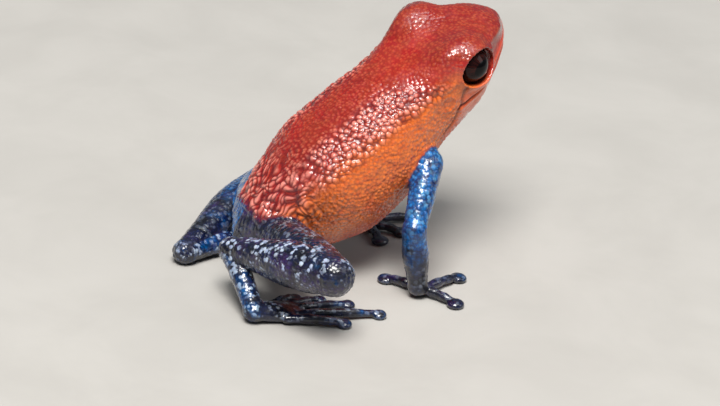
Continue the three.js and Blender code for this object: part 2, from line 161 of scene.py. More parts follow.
def section_at(s):
    """Half width, height, depth and squareness of the body at distances s from the vent."""
    shrink = round_off(s, VENT_ROUND) * round_off(SPINE_LENGTH - s, SNOUT_ROUND)
    wide, over, under = [smooth(BODY[:, 0], BODY[:, k], s) * shrink for k in (1, 2, 3)]
    square = SQUARE_TORSO + (SQUARE_HEAD - SQUARE_TORSO) * smoothstep(SQUARE_FROM, SQUARE_TO, s)
    return wide, over, under, square


def brow_lift(s, out, up):
    along = (s - BROW["along"]) / BROW["long"]
    across = np.hypot(np.abs(out) - BROW["out"], up - BROW["up"]) / BROW["wide"]
    return BROW["height"] * np.exp(-(along**2 + across**2))


def closed_loft(rings):
    """Points, and faces of a closed skin over rings, with a pole at each end."""
    count, sides = rings.shape[:2]
    poles = [rings[0].mean(0), rings[-1].mean(0)]
    points = np.concatenate([rings.reshape(-1, 3), poles])
    j, k = np.arange(sides), np.roll(np.arange(sides), -1)
    starts = np.arange(count - 1)[:, None] * sides
    quads = np.stack([starts + j, starts + k, starts + sides + k, starts + sides + j], -1).reshape(-1, 4)
    first, last = count * sides, (count - 1) * sides
    start_cap = np.stack([np.full(sides, first), k, j], -1)
    end_cap = np.stack([np.full(sides, first + 1), last + j, last + k], -1)
    return points, quads, np.concatenate([start_cap, end_cap])


def body_loft(rings=170, sides=88):
    turn = (1 - np.cos(np.linspace(0, math.pi, rings + 2)[1:-1])) / 2
    s = turn * SPINE_LENGTH
    angle = np.linspace(0, 2 * math.pi, sides, endpoint=False)
    wide, over, under, square = [v[:, None] for v in section_at(s)]
    out, up = [np.sign(v) * np.abs(v) ** (2 / square) for v in (np.cos(angle), np.sin(angle))]
    out, up = out * wide, up * np.where(up > 0, over, under)
    lift = brow_lift(s[:, None], out, up)
    out, up = out + np.sign(out) * lift * BROW["spread"], up + lift * BROW["rise"]
    place, _, left, above = spine_at(s)
    return closed_loft(place[:, None] + left[:, None] * out[..., None] + above[:, None] * up[..., None])


print("body loft points", len(body_loft()[0]))

# %% [markdown]
# ## Limbs and digits
#
# Each length of limb is a bowed tube with its own swelling: the calf is fullest just under the knee, the
# forearm just under the elbow. Toes and fingers are finer tubes that swell at each joint and end in round
# discs. They could be skinned from an armature, but tubes between named joints follow the pose exactly, and
# the joints are the same ones that place the solids.

# %% The joints of the pose


def at(x, y, z):
    return np.array([x, y, z], float)


POSE = {
    "right": {
        "hip": at(0.4, -1.6, 3.2),
        "knee": at(1.0, -10.2, 4.55),
        "heel": at(-2.6, -2.5, 3.0),
        "instep": at(-2.4, -6.4, 0.7),
        "shoulder": at(9.9, -2.9, 7.8),
        "elbow": at(8.2, -5.4, 4.5),
        "wrist": at(8.7, -5.6, 0.75),
    },
    "left": {
        "hip": at(0.4, 1.6, 3.2),
        "knee": at(3.4, 8.1, 1.9),
        "heel": at(-3.8, 2.2, 0.75),
        "instep": at(0.5, 3.4, 0.62),
        "shoulder": at(9.8, 3.0, 7.9),
        "elbow": at(7.4, 5.6, 4.4),
        "wrist": at(8.8, 4.5, 0.75),
    },
}
# Each limb: the joints at its ends, its bow, and its radius at a few shares of its length
LIMBS = {
    "thigh": ("hip", "knee", 0.25, [(0, 1.3), (0.25, 1.38), (0.5, 1.4), (0.8, 1.3), (1, 1.15)]),
    "shank": ("knee", "heel", 0.1, [(0, 1.15), (0.15, 1.33), (0.35, 1.42), (0.75, 1.0), (1, 0.75)]),
    "tarsus": ("heel", "instep", 0.1, [(0, 0.75), (0.2, 0.7), (0.5, 0.66), (0.85, 0.6), (1, 0.6)]),
    "upper_arm": ("shoulder", "elbow", 0.1, [(0, 0.92), (0.45, 0.85), (0.8, 0.75), (1, 0.7)]),
    "forearm": ("elbow", "wrist", 0.0, [(0, 0.72), (0.2, 0.8), (0.4, 0.84), (0.8, 0.66), (1, 0.57)]),
}
# Digits: heading in degrees to the left of +X, and length from the instep or the wrist
TOES = {
    "right": [(29, 4.4), (16, 5.5), (4, 6.8), (-9, 8.3), (-20, 6.0)],
    "left": [(-9, 4.4), (4, 5.6), (16, 6.9), (28, 8.4), (40, 6.0)],
}
FINGERS = {
    "right": [(116, 3.2), (68, 3.3), (24, 4.3), (-46, 3.1)],
    "left": [(-80, 3.1), (-36, 3.4), (4, 4.4), (44, 3.5)],
}
SOLE = {"length": 2.3, "radius": 0.6, "tip": 1.2, "flat": (0.9, 0.36), "knuckles": 1.1}
PALM = {"length": 0.7, "radius": 0.55, "tip": 0.8, "flat": (0.8, 0.5), "knuckles": 0.25}
KNUCKLE = {"along": 0.75, "height": 0.4}
JOINT_RADII = [(0, 0.28), (0.2, 0.27), (0.38, 0.32), (0.55, 0.26), (0.72, 0.29), (0.86, 0.23), (1, 0.24)]
DIGIT_BOW, DIGIT_END = 0.125, 0.26
TOE_DISC, FINGER_DISC, DISC_WIDER = (0.48, 0.27), (0.55, 0.28), 1.04  # radius and half thickness
PAD_REST, DISC_REST = 0.85, 0.75  # heights of the middles, as shares of the half thickness

# %% Tubes, balls and the digits
CAP_RINGS = np.linspace(0.08, 1, 6)


def tube(start, end, bow, stations, flat=(1, 1), rings=44, sides=30):
    """A bowed tube with round ends; flat squashes its height, from its start to its end."""
    middle = (start + end) / 2 + at(0, 0, 2 * bow)
    where, radius = np.transpose(stations)
    length = np.linalg.norm(end - start)
    before, after = -radius[0] / length * (1 - CAP_RINGS), 1 + radius[-1] / length * (1 - CAP_RINGS[::-1])
    t = np.concatenate([before, np.linspace(0, 1, rings)[1:-1], after])
    share = np.concatenate([round_off(CAP_RINGS, 1), np.ones(rings - 2), round_off(CAP_RINGS[::-1], 1)])
    inside = np.clip(t, 0, 1)[:, None]
    curve = (1 - inside) ** 2 * start + 2 * inside * (1 - inside) * middle + inside**2 * end
    ahead = unit(2 * (1 - inside) * (middle - start) + 2 * inside * (end - middle))
    curve = curve + ahead * (t[:, None] - inside) * length
    side = unit(np.cross([0, 0, 1], ahead))
    above = np.cross(ahead, side)
    size = smooth(where, radius, t) * share
    height = size * (flat[0] + (flat[1] - flat[0]) * inside[:, 0])
    angle = np.linspace(0, 2 * math.pi, sides, endpoint=False)
    across = side[:, None] * (size[:, None] * np.cos(angle))[..., None]
    upward = above[:, None] * (height[:, None] * np.sin(angle))[..., None]
    return closed_loft(curve[:, None] + across + upward)


def ball(centre, radii, axes=np.eye(3), rings=20, sides=28):
    """An ellipsoid with its radii along the rows of axes."""
    polar = np.linspace(0, math.pi, rings + 2)[1:-1]
    angle = np.linspace(0, 2 * math.pi, sides, endpoint=False)
    ring = np.stack([
        np.sin(polar)[:, None] * np.cos(angle),
        np.sin(polar)[:, None] * np.sin(angle),
        np.repeat(-np.cos(polar)[:, None], sides, 1),
    ], -1)
    return closed_loft(centre + (ring * np.array(radii)) @ np.asarray(axes))


def heading(degrees):
    return at(math.cos(math.radians(degrees)), math.sin(math.radians(degrees)), 0)


def pad_and_digits(root, digits, size, disc):
    """The tubes and balls of a hand or foot: its pad first, then a tube and a disc for each digit."""
    ahead = unit(sum(heading(d) for d, _ in digits))
    side = np.cross([0, 0, 1], ahead)
    tip = root + ahead * size["length"]
    tip[2] = size["tip"] * size["flat"][1] * PAD_REST
    stations = [(0, size["radius"]), (0.5, (size["radius"] + size["tip"]) / 2), (1, size["tip"])]
    pad = tube(root, tip, 0, stations, size["flat"])
    made = []
    for degrees, length in digits:
        ray = heading(degrees)
        lean = np.clip((ray @ side) / (ray @ ahead), -0.5, 0.5) * 2
        knuckle = root + ahead * size["length"] * KNUCKLE["along"] + side * lean * size["knuckles"]
        knuckle[2] = KNUCKLE["height"]
        end = root + ray * length
        run = unit((end - knuckle) * at(1, 1, 0))
        end = end - run * disc[0]
        end[2] = DIGIT_END
        made.append(tube(knuckle, end, DIGIT_BOW, JOINT_RADII, rings=30, sides=18))
        centre, axes = at(end[0], end[1], disc[1] * DISC_REST), [run, np.cross([0, 0, 1], run), [0, 0, 1]]
        made.append(ball(centre, (disc[0], disc[0] * DISC_WIDER, disc[1]), axes))
    return pad, made


print("a foot has", len(pad_and_digits(POSE["right"]["instep"], TOES["right"], SOLE, TOE_DISC)[1]), "digit pieces")


# %% [markdown]
# ## Growing one skin
#
# The real skin runs without a break over trunk and limbs, and folds in softly where a limb leaves the body.
# A Boolean union would leave hard creases there, and a voxel remesh would soften fingers as much as hips.
# So each form becomes a grid of distances to its surface, and two grids are joined by a minimum that rounds
# the corner by a chosen amount: wide at the hips and shoulders, next to nothing between a folded shank and
# thigh. The finished grid is then turned back into one mesh.

# %% Distance grids and soft joins
VOXEL = 0.065
BAND = 1.2
low_corner = np.array([-6.5, -12.5, -1.2])
high_corner = np.array([17.6, 10.8, 18.2])
low_cell = np.floor(low_corner / VOXEL).astype(int)
grid_shape = tuple(np.ceil(high_corner / VOXEL).astype(int) - low_cell)


def distances(form, band=BAND):
    """Signed distances to a closed form, with the slice of the whole grid that they cover."""
    points, quads, triangles = form
    made = openvdb.FloatGrid.createLevelSetFromPolygons(
        np.ascontiguousarray(points, np.float32),
        triangles=np.ascontiguousarray(triangles, np.uint32),
        quads=np.ascontiguousarray(quads, np.uint32),
        transform=openvdb.createLinearTransform(VOXEL),
        halfWidth=band / VOXEL,
    )
    pad = int(band / VOXEL) + 1
    low = np.maximum(np.floor(points.min(0) / VOXEL).astype(int) - pad, low_cell)
    high = np.minimum(np.ceil(points.max(0) / VOXEL).astype(int) + pad, low_cell + grid_shape)
    values = np.empty(tuple(high - low), np.float32)
    made.copyToArray(values, ijk=tuple(int(v) for v in low))
    where = tuple(slice(a, b) for a, b in zip(low - low_cell, high - low_cell))
    return where, values


def cell_places(where):
    """Millimetre coordinates of the grid cells in a slice, as three arrays that broadcast."""
    axes = [(np.arange(w.start, w.stop) + c) * VOXEL for w, c in zip(where, low_cell)]
    return axes[0][:, None, None], axes[1][None, :, None], axes[2][None, None, :]


def soft_union(a, b, width):
    h = np.clip(0.5 + 0.5 * (b - a) / width, 0, 1)
    return b + h * (a - b) - width * h * (1 - h)


def join(grid, form, width, joint=None, near=0.0, reach=1.0):
    """Join a form to a grid; the corner is rounded by width, and by near more around a joint."""
    where, values = distances(form)
    spread = width
    if joint is not None:
        x, y, z = cell_places(where)
        away = (x - joint[0]) ** 2 + (y - joint[1]) ** 2 + (z - joint[2]) ** 2
        spread = (width + near * np.exp(-away / reach**2)).astype(np.float32)
    grid[where] = soft_union(grid[where], values, spread)


body_grid = np.full(grid_shape, BAND, np.float32)
join(body_grid, body_loft(), 0.01)
print("grid of", grid_shape, "cells,", round(body_grid.size / 1e6, 1), "million")

# %% [markdown]
# ## Limbs onto the body
#
# The limbs first gather in a grid of their own, so that later the script can ask of any place on the skin
# whether it lies on a limb, which is where the blue starts. Knees, heels, elbows and wrists get their own
# rounding, and the digits hardly any, so that they stay slender and apart.

# %% Join every limb
# Each limb: the joint it is rounded at, by how much more, and how far round that joint
ROUNDING = {
    "thigh": ("knee", 0.3, 1.2),
    "shank": ("knee", 0.45, 1.3),
    "tarsus": ("heel", 0.3, 0.9),
    "upper_arm": ("shoulder", 0.3, 1.0),
    "forearm": ("elbow", 0.4, 0.9),
}
# Where a limb leaves the body: the joint, and how softly the flesh runs over it
FLESH = {"thigh": ("hip", 1.0), "upper_arm": ("shoulder", 0.7)}
FLESH_REACH, FLESH_WIDTH = 2.6, 0.1
LIMB_WIDTH, DIGIT_WIDTH, BODY_WIDTH = 0.05, 0.16, 0.06
PAD_ROUNDING, DIGIT_ROUNDING = (0.35, 1.0), (0.05, 1.0)

skin_grid = body_grid.copy()
limb_grid = np.full(grid_shape, BAND, np.float32)
for side_name, joints in POSE.items():
    for name, (start, end, bow, stations) in LIMBS.items():
        form = tube(joints[start], joints[end], bow, stations)
        joint, near, reach = ROUNDING[name]
        join(limb_grid, form, LIMB_WIDTH, joints[joint], near, reach)
        if name in FLESH:
            body_joint, flesh = FLESH[name]
            join(skin_grid, form, FLESH_WIDTH, joints[body_joint], flesh, FLESH_REACH)
        else:
            join(skin_grid, form, BODY_WIDTH, joints[joint], near, reach)
    for joint, digits, size, disc in (("instep", TOES, SOLE, TOE_DISC), ("wrist", FINGERS, PALM, FINGER_DISC)):
        root = joints[joint]
        pad, made = pad_and_digits(root.copy(), digits[side_name], size, disc)
        join(limb_grid, pad, LIMB_WIDTH, root, *PAD_ROUNDING)
        join(skin_grid, pad, BODY_WIDTH, root, *PAD_ROUNDING)
        for form in made:
            join(limb_grid, form, DIGIT_WIDTH, root, *DIGIT_ROUNDING)
            join(skin_grid, form, BODY_WIDTH, root, *DIGIT_ROUNDING)
print("limb cells inside", int((limb_grid < 0).sum()), "body cells inside", int((body_grid < 0).sum()))


# %% [markdown]
# ## Sockets and lids
#
# The eye sits deep in a socket, and the lids wrap the ball closely. They could be modelled as two folds, but
# one shell over the ball, melted into the brow and cut through by an oval, gives both at once: the cut edge is
# rounded into a rim, and the eyeball itself is then taken out, so that the rim meets the wet ball all round.

# %% Shape the lids and carve the sockets
LIDS = {"cover": 0.42, "higher": 0.05, "wide": 1.36, "tall": 1.1, "flare": 0.1, "tilt": 0.2, "from": 0.5}
SIDES = {"right": -1, "left": 1}
LID_BLEND, RIM_ROUND = 0.4, 0.12
SOCKET_INSET, SOCKET_BAND = 0.01, 0.6
SPHERE = {"rings": 60, "sides": 90}


def eye_frame(name):
    """Centre of an eye, the way it looks, across it towards the front or back, and up."""
    place, ahead, left, up = [v[0] for v in spine_at(EYE["along"])]
    centre = place + left * SIDES[name] * EYE["out"] + up * EYE["up"]
    look = unit(left * SIDES[name] + ahead * EYE["forward"] + up * EYE["upward"])
    across = unit(np.cross(up, look))
    return centre, look, across, np.cross(look, across)


def carve(grid, where, hole, width=0.0):
    """Take a hole out of part of a grid, rounding its edge by width."""
    grid[where] = -soft_union(-grid[where], hole, width) if width else np.maximum(grid[where], -hole)


def lid_opening(name, where):
    """Distances to the oval between the lids: a flared cylinder, tilted with its front end down."""
    centre, look, across, up = eye_frame(name)
    tilt = SIDES[name] * LIDS["tilt"]
    across, up = across * math.cos(tilt) + up * math.sin(tilt), up * math.cos(tilt) - across * math.sin(tilt)
    x, y, z = cell_places(where)
    x, y, z = x - centre[0], y - centre[1], z - centre[2]
    depth, wide, tall = [x * axis[0] + y * axis[1] + z * axis[2] for axis in (look, across, up)]
    widen = 1 + LIDS["flare"] * (depth - LIDS["from"]) / EYE["radius"]
    oval = np.sqrt((wide / LIDS["wide"]) ** 2 + (tall / LIDS["tall"]) ** 2) / widen - 1
    return np.maximum(oval * LIDS["tall"], LIDS["from"] - depth).astype(np.float32)


for name in SIDES:
    centre, _, _, up = eye_frame(name)
    shell = ball(centre + up * LIDS["higher"], [EYE["radius"] + LIDS["cover"]] * 3, **SPHERE)
    join(skin_grid, shell, LID_BLEND)
    where = distances(shell)[0]
    carve(skin_grid, where, lid_opening(name, where), RIM_ROUND)
    where, values = distances(ball(centre, [EYE["radius"] - SOCKET_INSET] * 3, **SPHERE), SOCKET_BAND)
    carve(skin_grid, where, values)
    print(name, "eye centre in mm", centre.round(2))

# %% [markdown]
# ## From grid to mesh
#
# The grid's zero surface comes back as quads, a voxel on a side. A few rounds of gentle smoothing take out
# the last stair steps, and every point then learns where it is on the frog: how far along the spine, how
# far out and up, and how near to a limb. These few numbers place every fold, pebble and colour below.

# %% The bare skin


def between_cells(places, read, ease=lambda t: t):
    """A blend of what read gives for the eight cells round each place."""
    base = np.floor(places).astype(int)
    part = ease(places - base)
    total = np.zeros(len(places))
    for corner in np.ndindex(2, 2, 2):
        total += np.prod(np.where(corner, part, 1 - part), axis=1) * read(base + corner)
    return total


def sample(grid, points):
    return between_cells(points / VOXEL - low_cell, lambda cells: grid[tuple(cells.T)])


def point_normals(points, quads):
    across = points[quads[:, 2]] - points[quads[:, 0]]
    up = points[quads[:, 3]] - points[quads[:, 1]]
    face = np.cross(across, up)
    total = np.zeros_like(points)
    for k in range(4):
        for axis in range(3):
            total[:, axis] += np.bincount(quads[:, k], face[:, axis], len(points))
    return total / np.maximum(np.linalg.norm(total, axis=1, keepdims=True), 1e-12)


def relax(points, quads, rounds, share=0.5):
    """Move every point part of the way to the middle of its neighbours."""
    for _ in range(rounds):
        total, count = np.zeros_like(points), np.zeros(len(points))
        for a, b in ((0, 1), (1, 2), (2, 3), (3, 0)):
            for one, other in ((a, b), (b, a)):
                count += np.bincount(quads[:, one], minlength=len(points))
                for axis in range(3):
                    total[:, axis] += np.bincount(quads[:, one], points[quads[:, other], axis], len(points))
        points = points + share * (total / count[:, None] - points)
    return points


def grid_surface(grid):
    """The zero surface of a grid as points and quads, keeping only its largest piece."""
    made = openvdb.FloatGrid(BAND)
    made.transform = openvdb.createLinearTransform(VOXEL)
    made.copyFromArray(grid, ijk=tuple(int(v) for v in low_cell), tolerance=0)
    points, quads = made.convertToQuads(0)
    quads = quads.astype(int)
    label = np.arange(len(points))
    while True:
        least = label[quads].min(1)
        fresh = label.copy()
        for k in range(4):
            np.minimum.at(fresh, quads[:, k], least)
        fresh = fresh[fresh]
        if (fresh == label).all():
            break
        label = fresh
    keep = label == np.bincount(label).argmax()
    quads = quads[keep[quads].all(1)]
    used = np.unique(quads)
    renumber = np.zeros(len(points), int)
    renumber[used] = np.arange(len(used))
    points, quads = points[used].astype(float), renumber[quads]
    if (point_normals(points, quads) * (points - points.mean(0))).sum() < 0:
        quads = quads[:, ::-1]
    return points, quads


skin_points, skin_quads = grid_surface(skin_grid)
skin_points = relax(skin_points, skin_quads, 2)
print("skin", len(skin_points), "points", len(skin_quads), "quads")

# %% [markdown]
# ## Where a point is on the frog
#
# Colour and relief follow the animal, not the room: red runs along the back, orange down the flank, blue from
# the hips and shoulders outward. Each skin point is therefore given its distance along the spine, its height
# between belly and back, the limb it is nearest to and how far down that limb it lies.

# %% Body coordinates of every skin point
RUMP_BLUE, RUMP_FADE = 1.9, 0.8  # how far up from the vent the blue of the legs reaches, and its slope there
END_MARGIN = 0.4
LIMB_EDGE = (-0.25, 0.35)
skin_normals = point_normals(skin_points, skin_quads)


def body_place(points, chunk=15000, rounds=8, share=0.8):
    """Distance along the spine, then out to the left and up from it."""
    knots = np.linspace(-1, SPINE_LENGTH + 1, 90)
    places = spine_at(knots)[0]
    parts = np.array_split(points, len(points) // chunk + 1)
    s = np.concatenate([knots[((part[:, None] - places) ** 2).sum(-1).argmin(1)] for part in parts])
    for _ in range(rounds):
        place, ahead, _, _ = spine_at(s)
        s = s + ((points - place) * ahead).sum(1) * share
    place, _, left, up = spine_at(s)
    return s, ((points - place) * left).sum(1), ((points - place) * up).sum(1)


s, out, up = body_place(skin_points)
wide, over, under, _ = section_at(np.clip(s, END_MARGIN, SPINE_LENGTH - END_MARGIN))
back = np.clip(up / np.where(up > 0, over, under), -1.2, 1.2)
limb_depth = sample(body_grid, skin_points) - sample(limb_grid, skin_points)
limb_depth = np.maximum(limb_depth, (RUMP_BLUE - s) * RUMP_FADE)
on_limb = smoothstep(*LIMB_EDGE, limb_depth)
print("spine from", s.min().round(2), "to", s.max().round(2))
print("on limbs", round(float((on_limb > 0.5).mean()), 2), "of the points")

# %% The look of the nearest limb
# Shares at the start and end of each limb: bright blue, pale speckles (the skin's own flecks and painted
# highlights), relief of its granules
LIMB_LOOKS = {
    "thigh_left": ((1.0, 0.9), (0.1, 0.1), (0.6, 0.7)),
    "shank_left": ((0.95, 0.05), (0.2, 0.1), (0.9, 0.5)),
    "thigh": ((0.1, 0.25), (0.1, 0.5), (0.7, 1.0)),
    "shank": ((0.3, 0.2), (1.0, 0.9), (1.1, 0.9)),
    "tarsus": ((0.45, 0.6), (0.8, 0.6), (0.9, 0.6)),
    "upper_arm": ((0.95, 1.0), (0.25, 0.3), (0.5, 0.5)),
    # The forearm's bright blue fades to navy at the wrist, where the hand starts dark too: painted shade low on
    # the arm.
    "forearm": ((0.9, 0.05), (0.2, 0.25), (0.3, 0.4)),
    "foot": ((0.2, 0.5), (0.4, 0.3), (0.35, 0.15)),
    "hand": ((0.05, 0.45), (0.1, 0.25), (0.3, 0.15)),
}
DIGIT_RADII = [(0, 0.5), (1, 0.3)]
FAR = 99.0


def limb_runs():
    """Name, side, start, end and radii of every length of limb and every digit."""
    for side, joints in POSE.items():
        for name, (start, end, _, stations) in LIMBS.items():
            yield name, side, joints[start], joints[end], stations
        for name, root, digits in (("foot", "instep", TOES), ("hand", "wrist", FINGERS)):
            for degrees, length in digits[side]:
                yield name, side, joints[root], joints[root] + heading(degrees) * length, DIGIT_RADII


def from_segment(points, start, end):
    """How far down a segment each point lies, from 0 to 1, and how far from it."""
    run = end - start
    t = np.clip(((points - start) @ run) / (run @ run), 0, 1)
    return t, np.linalg.norm(points - start - t[:, None] * run, axis=1)


def nearest_limb(points):
    """Bright blue, speckles and granule relief of the limb nearest to each point."""
    best = np.full(len(points), FAR)
    looks = np.zeros((3, len(points)))
    for name, side, start, end, stations in limb_runs():
        t, away = from_segment(points, start, end)
        away = away - np.interp(t, *np.transpose(stations))
        closer = away < best
        best[closer] = away[closer]
        for k, (first, last) in enumerate(LIMB_LOOKS.get(f"{name}_{side}", LIMB_LOOKS[name])):
            looks[k, closer] = (first + (last - first) * t)[closer]
    return looks


bright_blue, flecks_and_glints, limb_relief = nearest_limb(skin_points)
print("mean share of bright blue on the limbs", bright_blue[on_limb > 0.5].mean().round(2))

# %% [markdown]
# ## Face and folds
#
# A frog's face is drawn by a few low forms: the mouth line that runs round the snout to below the eye, a lip
# on each side of it, a blunt ridge from the eye to the nostril, the small drum behind the eye with a fold of
# skin over it, and a crease from the eye down to the shoulder, with a pinkish strip of jaw under it. They are too
# small for the distance grid, so they are moved in as heights on the skin: each is a short formula of the body
# coordinates.

# %% Mouth, nostrils and eardrum
MOUTH = {"corner": 15.3, "drops": ([15.3, 17.6, 21.8], [0.9, 0.78, 0.45]), "line": 0.085}
LIPS = ((0.22, 0.16, 1.0), (-0.2, 0.15, 0.9))  # over and under the line: distance, width, share
NOSTRIL = {"along": 20.75, "out": 1.0, "up": 0.35, "radius": 0.15, "rim": (0.26, 0.1)}
EARDRUM = {"along": 15.0, "up": 0.1, "radius": 0.55, "ring": 0.1, "dish": (0.62, 0.9)}


def bump(distance, width):
    return np.exp(-((distance / width) ** 2))


in_head = (1 - on_limb) * smoothstep(13.2, 14.4, s)
side_face = smoothstep(0.55, 0.85, np.abs(out) / wide)
from_mouth = up + smooth(*MOUTH["drops"], s)
mouth_part = smoothstep(MOUTH["corner"] - 0.15, MOUTH["corner"] + 0.35, s) * (1 - on_limb)
mouth_line = bump(from_mouth, MOUTH["line"]) * mouth_part
lips = sum(share * bump(from_mouth - height, width) for height, width, share in LIPS) * mouth_part

from_nostril = s - NOSTRIL["along"], np.abs(out) - NOSTRIL["out"], up - NOSTRIL["up"]
from_nostril = np.linalg.norm(from_nostril, axis=0)
nostril_pit = bump(from_nostril, NOSTRIL["radius"])
nostril_rim = bump(from_nostril - NOSTRIL["rim"][0], NOSTRIL["rim"][1])

from_drum = np.hypot(s - EARDRUM["along"], up - EARDRUM["up"])
drum_ring = bump(from_drum - EARDRUM["radius"], EARDRUM["ring"])
drum_dish = bump(from_drum, EARDRUM["radius"] * EARDRUM["dish"][0]) * EARDRUM["dish"][1]
drum = (drum_ring - drum_dish) * side_face
print("points on the mouth line", int((mouth_line > 0.5).sum()), "in the nostrils", int((nostril_pit > 0.5).sum()))

# %% Ridges and creases
# Each runs along a path of (distance along the spine, height over it), and has a width
JAW_CREASE = [(16.45, 0.3), (15.96, -0.46), (15.4, -1.1), (14.98, -1.5), (13.6, -2.2), (12.4, -2.75)]
FOLDS = {
    "eye_ridge": ([(18.7, 1.15), (19.8, 0.95), (20.7, 0.62)], 0.24),
    "cheek_hollow": ([(18.9, 0.3), (20.2, 0.15)], 0.42),
    "ear_fold": ([(16.2, 1.05), (15.2, 1.0), (14.2, 0.55), (13.3, -0.5), (12.6, -1.3)], 0.2),
    "jaw_crease": (JAW_CREASE, 0.12),
}
JAW_TOP = ([12.4, 13.6, 14.98, 15.96, 16.45, 18.5, 21.8], [-2.75, -2.2, -1.5, -0.46, 0.1, -0.1, 0.1])
THROAT = {"per_mm": 1.6, "sway": 0.25, "waves": 3, "width": 0.16}


def ridge(path, width):
    """A low ridge along a path, on both sides of the head."""
    side_view, path = np.stack([s, up], -1), np.array(path)
    return bump(np.min([from_segment(side_view, a, b)[1] for a, b in zip(path, path[1:])], 0), width)


folds = {name: ridge(path, width) * side_face for name, (path, width) in FOLDS.items()}
on_side = smoothstep(0.35, 0.7, np.abs(out) / wide)
jaw_strip = smoothstep(0.0, 0.25, smooth(*JAW_TOP, s) - up) * smoothstep(12.8, 14.2, s) * on_side
throat_wave = np.mod(s * THROAT["per_mm"] + THROAT["sway"] * np.sin(out * THROAT["waves"]), 1) - 0.5
throat_part = smoothstep(0.35, 0.8, -back) * smoothstep(12.5, 13.6, s) * (1 - smoothstep(18, 20, s))
throat_folds = bump(throat_wave, THROAT["width"]) * throat_part

# %% Heights of the face
FACE_FORMS = (
    (0.07, lips),
    (-0.17, mouth_line),
    (-0.3, nostril_pit),
    (0.06, nostril_rim),
    (0.06, drum),
    (0.09, folds["eye_ridge"]),
    (-0.07, folds["cheek_hollow"]),
    (0.07, folds["ear_fold"]),
    (-0.1, folds["jaw_crease"]),
    (-0.03, throat_folds),
)
face_height = sum(height * form for height, form in FACE_FORMS) * np.clip(in_head + mouth_part, 0, 1)
print("face heights in mm", face_height.min().round(3), "to", face_height.max().round(3))

# %% [markdown]
# ## Granules
#
# The skin of this frog is pebbled all over. Along the upper flank, from the hip to the eye, the pebbles are
# largest and shine wet; on the rump they run together into short winding ridges; the middle of the back, the
# belly and the head are finer and flatter, and the limbs have a size of their own in between. A texture painted
# on would lose the lit and shaded side of each pebble, so they are real relief: every pebble is a cell of a
# seeded, jittered grid, domed in its middle and cut by a crevice where two cells meet. The same cells give each
# pebble a slightly different colour.

# %% Cells and soft noise
HASH = (374761393, 668265263, 2147483647, 1274126177)
CELL_MARGIN = 0.12  # how near to the wall of its cell a pebble's middle may come
CREVICE_WIDTH, DOME_RADIUS = 0.3, 0.72


def jitter(cells, seed):
    """Three repeatable numbers from 0 to 1 for each whole-number cell."""
    c = cells.astype(np.int64)
    made = []
    for k in range(3):
        h = c[:, 0] * HASH[0] + c[:, 1] * HASH[1] + c[:, 2] * HASH[2] + (seed * 3 + k) * HASH[3]
        h = (h ^ (h >> 13)) * HASH[3]
        h = h ^ (h >> 16)
        made.append((h & 0xFFFFF) / 0xFFFFF)
    return np.stack(made, -1)


def pebbles(points, size, seed):
    """Share of the way from the nearest crevice, roundness of the pebble, and a number of its own."""
    q = points / size
    base = np.floor(q)
    first, second, own = np.full(len(q), FAR), np.full(len(q), FAR), np.zeros(len(q))
    for step in np.ndindex(3, 3, 3):
        cell = base + np.array(step) - 1
        spot = jitter(cell, seed)
        middle = cell + CELL_MARGIN + (1 - 2 * CELL_MARGIN) * spot
        away = np.sqrt(((middle - q) ** 2).sum(1))
        closer = away < first
        second = np.where(closer, first, np.minimum(second, away))
        own = np.where(closer, spot[:, 0], own)
        first = np.where(closer, away, first)
    return smoothstep(0, CREVICE_WIDTH, second - first), np.clip(1 - (first / DOME_RADIUS) ** 2, 0, 1), own


def cloud(points, size, seed):
    """Soft noise from 0 to 1."""
    return between_cells(points / size, lambda cells: jitter(cells, seed)[:, 0], lambda t: smoothstep(0, 1, t))


def winding(points, size, seed, reach):
    """The points, pushed about by noise, so that what is drawn on them winds."""
    push = np.stack([cloud(points, size, seed + k) for k in range(3)], -1) - 0.5
    return points + push * reach


# %% [markdown]
# Each region has pebbles of its own size, and the relief of the skin is a blend of the four. Those of the rump
# are stretched along the body and pushed about more, which makes the winding ridges.

# %% Where each kind of pebble lies
# Size and seed of the pebbles, then size, seed and reach of the noise that pushes them about
PEBBLES = {
    "coarse": (0.36, 1, 0.7, 11, 0.25),
    "fine": (0.23, 2, 0.5, 21, 0.12),
    "rump": (0.35, 3, 0.8, 31, 1.1),
    "limb": (0.29, 4, 0.6, 51, 0.2),
}
RUMP_STRETCH = np.array([0.42, 1.0, 1.0])
layers = {}
for region, (size, seed, wave, wave_seed, reach) in PEBBLES.items():
    if region == "rump":
        places = winding(np.stack([s, out, up], -1), wave, wave_seed, reach) * RUMP_STRETCH
    else:
        places = winding(skin_points, wave, wave_seed, reach)
    layers[region] = pebbles(places, size, seed)

on_body = 1 - on_limb
upper_flank = smoothstep(0.1, 0.5, back) * (1 - 0.85 * smoothstep(0.84, 0.99, back))
rump_part = on_body * (1 - smoothstep(4.0, 7.5, s)) * smoothstep(-0.45, 0.1, back)
head_part = on_body * smoothstep(14.6, 16.6, s + 2.5 * smoothstep(0.5, 0.95, back))
coarse_part = on_body * upper_flank * (1 - head_part) * (1 - rump_part)
plain_part = on_body * (1 - rump_part) * (1 - head_part) * (1 - upper_flank)
mix_coarse = np.clip(coarse_part * 1.4, 0, 1)
for region, part in (("rump", rump_part), ("head", head_part), ("coarse band", coarse_part)):
    print(region, "covers", round(float(part.mean()), 2), "of the skin")

# %% Raise the granules
RELIEF = {"coarse": 0.14, "plain": 0.075, "head": 0.016, "crown": 0.012, "limb": 0.06, "rump": 0.16}
FACE_CALM = 0.85  # how far the mouth line, lips and nostrils are kept free of granules


def blend(k):
    calm = layers["fine"][k] * (1 - mix_coarse) + layers["coarse"][k] * mix_coarse
    calm = calm * (1 - rump_part) + layers["rump"][k] * rump_part
    return calm * (1 - on_limb) + layers["limb"][k] * on_limb


